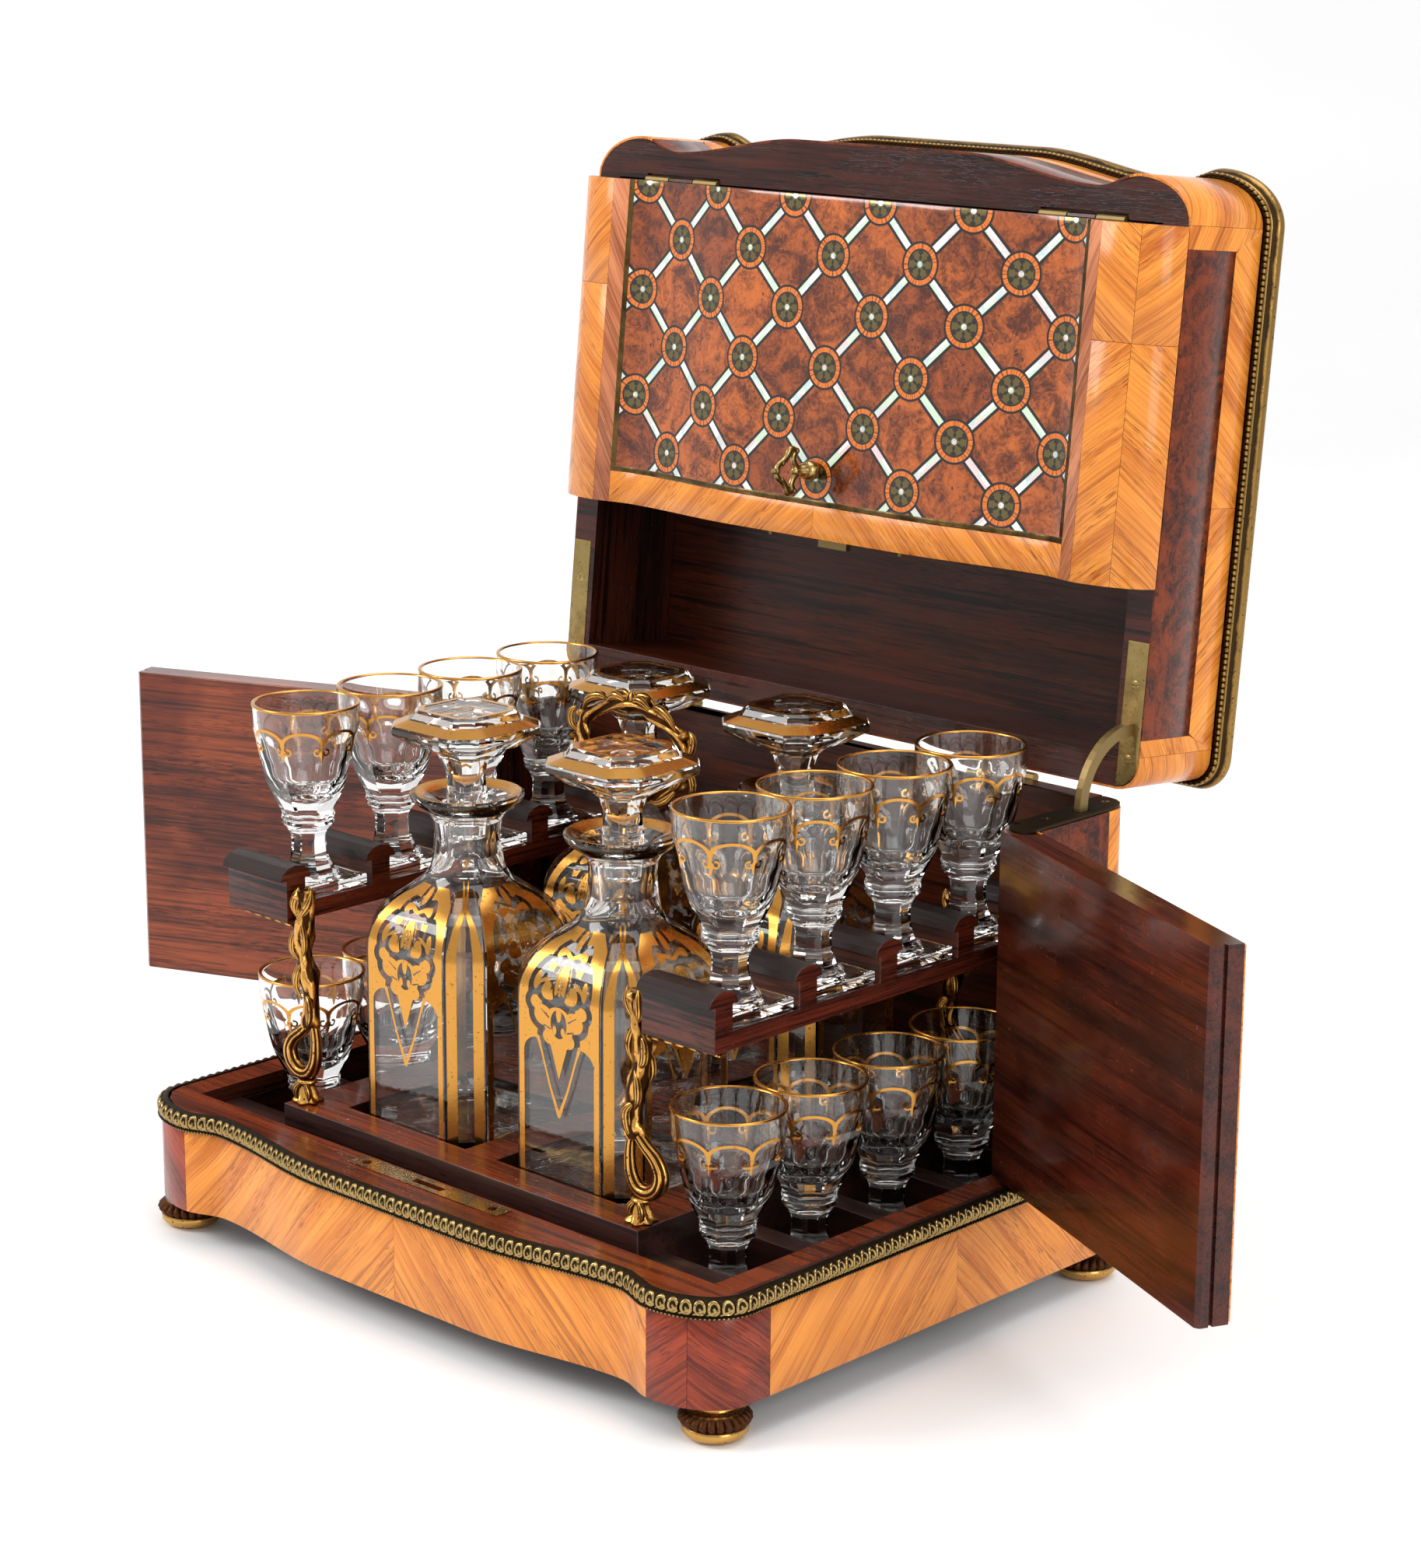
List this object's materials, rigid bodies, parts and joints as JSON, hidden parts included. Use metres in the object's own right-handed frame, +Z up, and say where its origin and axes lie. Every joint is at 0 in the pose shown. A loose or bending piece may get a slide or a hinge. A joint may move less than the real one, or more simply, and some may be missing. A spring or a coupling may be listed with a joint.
{
  "type": "liqueur cabinet",
  "caption": "Serpentine wooden liqueur box with hinged lid, fold-under front flap, side doors and a lift-out caddy of decanters and stemmed glasses.",
  "frame": {"origin": "middle of the open cabinet's bounding box, on the surface that it stands on", "axes": "+X to the cabinet's right as seen from the front, +Y to the back, +Z up"},
  "size_m": [0.6286, 0.3424, 0.4538],
  "materials": {
    "kingwood": "polished",
    "rosewood": "french polished",
    "burl": "polished",
    "marquetry": "polished",
    "ormolu": "gilt",
    "brass": "aged",
    "dark_brass": "patinated",
    "cut_glass": "clear with gilding"
  },
  "bodies": {
    "root": {"plinth_frame": "kingwood", "plinth_top": "rosewood", "plinth_moulding": "ormolu", "well_floor": "rosewood", "foot_front_left": "ormolu", "foot_front_right": "ormolu", "foot_rear_left": "ormolu", "foot_rear_right": "ormolu", "post_right": "burl", "post_left": "burl", "back_panel": "rosewood", "post_plate_left": "dark_brass", "post_plate_right": "dark_brass", "case_hinge_right": "brass", "case_hinge_left": "brass"},
    "stay": {"stay_arm": "brass"},
    "lid": {"lid_frame": "burl", "lid_top": "burl", "lid_moulding": "dark_brass"},
    "flap": {"flap_board": "kingwood", "flap_field": "marquetry", "flap_hinge_right": "brass", "flap_hinge_left": "brass", "lock_case": "brass"},
    "bolt": {"lock_bolt": "brass"},
    "key": {"key": "ormolu"},
    "door_left": {"door_left": "rosewood"},
    "door_right": {"door_right": "rosewood"},
    "caddy": {"caddy_tray": "rosewood", "shelf_right": "rosewood", "shelf_left": "rosewood", "upright_front_right": "ormolu", "upright_front_left": "ormolu", "upright_rear_right": "ormolu", "upright_rear_left": "ormolu", "carrying_ring": "ormolu"},
    "glass_upper_left_1": {"glass_upper_left_1": "cut_glass"},
    "glass_upper_left_2": {"glass_upper_left_2": "cut_glass"},
    "glass_upper_left_3": {"glass_upper_left_3": "cut_glass"},
    "glass_upper_left_4": {"glass_upper_left_4": "cut_glass"},
    "glass_upper_right_1": {"glass_upper_right_1": "cut_glass"},
    "glass_upper_right_2": {"glass_upper_right_2": "cut_glass"},
    "glass_upper_right_3": {"glass_upper_right_3": "cut_glass"},
    "glass_upper_right_4": {"glass_upper_right_4": "cut_glass"},
    "glass_lower_left_1": {"glass_lower_left_1": "cut_glass"},
    "glass_lower_left_2": {"glass_lower_left_2": "cut_glass"},
    "glass_lower_left_3": {"glass_lower_left_3": "cut_glass"},
    "glass_lower_left_4": {"glass_lower_left_4": "cut_glass"},
    "glass_lower_right_1": {"glass_lower_right_1": "cut_glass"},
    "glass_lower_right_2": {"glass_lower_right_2": "cut_glass"},
    "glass_lower_right_3": {"glass_lower_right_3": "cut_glass"},
    "glass_lower_right_4": {"glass_lower_right_4": "cut_glass"},
    "decanter_front_left": {"decanter_front_left": "cut_glass"},
    "decanter_front_right": {"decanter_front_right": "cut_glass"},
    "decanter_rear_left": {"decanter_rear_left": "cut_glass"},
    "decanter_rear_right": {"decanter_rear_right": "cut_glass"},
    "stopper_front_left": {"stopper_front_left": "cut_glass"},
    "stopper_front_right": {"stopper_front_right": "cut_glass"},
    "stopper_rear_left": {"stopper_rear_left": "cut_glass"},
    "stopper_rear_right": {"stopper_rear_right": "cut_glass"}
  },
  "joints": [
    {"name": "stay_in_post", "type": "hinge", "parent": "root", "child": "stay", "pos_m": [0.00159, 0.08581, 0.2035], "axis": [1, 0, 0], "range_deg": [0, 47.8]},
    {"name": "lid_on_stay", "type": "hinge", "parent": "stay", "child": "lid", "pos_m": [0.00159, 0.08581, 0.2035], "axis": [1, 0, 0], "range_deg": [0, 47.8]},
    {"name": "flap_fold", "type": "hinge", "parent": "lid", "child": "flap", "pos_m": [0.00159, 0.10816, 0.43151], "axis": [-1, 0, 0], "range_deg": [0, 90]},
    {"name": "key_turn", "type": "hinge", "parent": "flap", "child": "key", "pos_m": [0.00159, 0.09697, 0.31735], "axis": [0, -0.9952, 0.0976], "range_deg": [-90, 0]},
    {"name": "bolt_throw", "type": "slide", "parent": "flap", "child": "bolt", "axis": [0, -0.0976, -0.9952], "range_m": [-0.005, 0]},
    {"name": "door_right_swing", "type": "hinge", "parent": "root", "child": "door_right", "pos_m": [0.16359, 0.02181, 0.0598], "axis": [0, 0, -1], "range_deg": [-24.9, 65.1]},
    {"name": "door_left_swing", "type": "hinge", "parent": "root", "child": "door_left", "pos_m": [-0.16041, 0.02181, 0.0598], "axis": [0, 0, 1], "range_deg": [-22, 68]},
    {"name": "caddy_lift", "type": "slide", "parent": "root", "child": "caddy", "axis": [0, 0, -1], "range_m": [-0.19, 0]},
    {"name": "decanter_front_left_lift", "type": "slide", "parent": "caddy", "child": "decanter_front_left", "axis": [0, 0, -1], "range_m": [-0.17, 0]},
    {"name": "decanter_front_right_lift", "type": "slide", "parent": "caddy", "child": "decanter_front_right", "axis": [0, 0, -1], "range_m": [-0.17, 0]},
    {"name": "decanter_rear_left_lift", "type": "slide", "parent": "caddy", "child": "decanter_rear_left", "axis": [0, 0, -1], "range_m": [-0.17, 0]},
    {"name": "decanter_rear_right_lift", "type": "slide", "parent": "caddy", "child": "decanter_rear_right", "axis": [0, 0, -1], "range_m": [-0.17, 0]},
    {"name": "stopper_front_left_lift", "type": "slide", "parent": "decanter_front_left", "child": "stopper_front_left", "axis": [0, 0, -1], "range_m": [-0.025, 0]},
    {"name": "stopper_front_right_lift", "type": "slide", "parent": "decanter_front_right", "child": "stopper_front_right", "axis": [0, 0, -1], "range_m": [-0.025, 0]},
    {"name": "stopper_rear_left_lift", "type": "slide", "parent": "decanter_rear_left", "child": "stopper_rear_left", "axis": [0, 0, -1], "range_m": [-0.025, 0]},
    {"name": "stopper_rear_right_lift", "type": "slide", "parent": "decanter_rear_right", "child": "stopper_rear_right", "axis": [0, 0, -1], "range_m": [-0.025, 0]},
    {"name": "glass_upper_left_1_slide", "type": "slide", "parent": "caddy", "child": "glass_upper_left_1", "axis": [1, 0, 0], "range_m": [-0.04, 0]},
    {"name": "glass_upper_left_2_slide", "type": "slide", "parent": "caddy", "child": "glass_upper_left_2", "axis": [1, 0, 0], "range_m": [-0.04, 0]},
    {"name": "glass_upper_left_3_slide", "type": "slide", "parent": "caddy", "child": "glass_upper_left_3", "axis": [1, 0, 0], "range_m": [-0.03, 0]},
    {"name": "glass_upper_left_4_slide", "type": "slide", "parent": "caddy", "child": "glass_upper_left_4", "axis": [1, 0, 0], "range_m": [-0.005, 0]},
    {"name": "glass_upper_right_1_slide", "type": "slide", "parent": "caddy", "child": "glass_upper_right_1", "axis": [-1, 0, 0], "range_m": [-0.04, 0]},
    {"name": "glass_upper_right_2_slide", "type": "slide", "parent": "caddy", "child": "glass_upper_right_2", "axis": [-1, 0, 0], "range_m": [-0.04, 0]},
    {"name": "glass_upper_right_3_slide", "type": "slide", "parent": "caddy", "child": "glass_upper_right_3", "axis": [-1, 0, 0], "range_m": [-0.03, 0]},
    {"name": "glass_upper_right_4_slide", "type": "slide", "parent": "caddy", "child": "glass_upper_right_4", "axis": [-1, 0, 0], "range_m": [-0.005, 0]},
    {"name": "glass_lower_left_1_lift", "type": "slide", "parent": "caddy", "child": "glass_lower_left_1", "axis": [0, 0, -1], "range_m": [-0.028, 0]},
    {"name": "glass_lower_left_2_lift", "type": "slide", "parent": "caddy", "child": "glass_lower_left_2", "axis": [0, 0, -1], "range_m": [-0.028, 0]},
    {"name": "glass_lower_left_3_lift", "type": "slide", "parent": "caddy", "child": "glass_lower_left_3", "axis": [0, 0, -1], "range_m": [-0.028, 0]},
    {"name": "glass_lower_left_4_lift", "type": "slide", "parent": "caddy", "child": "glass_lower_left_4", "axis": [0, 0, -1], "range_m": [-0.028, 0]},
    {"name": "glass_lower_right_1_lift", "type": "slide", "parent": "caddy", "child": "glass_lower_right_1", "axis": [0, 0, -1], "range_m": [-0.028, 0]},
    {"name": "glass_lower_right_2_lift", "type": "slide", "parent": "caddy", "child": "glass_lower_right_2", "axis": [0, 0, -1], "range_m": [-0.028, 0]},
    {"name": "glass_lower_right_3_lift", "type": "slide", "parent": "caddy", "child": "glass_lower_right_3", "axis": [0, 0, -1], "range_m": [-0.028, 0]},
    {"name": "glass_lower_right_4_lift", "type": "slide", "parent": "caddy", "child": "glass_lower_right_4", "axis": [0, 0, -1], "range_m": [-0.028, 0]}
  ],
  "couplings": [
    {"joint": "bolt_throw", "follows": "key_turn", "m_per_rad": 0.00318}
  ]
}
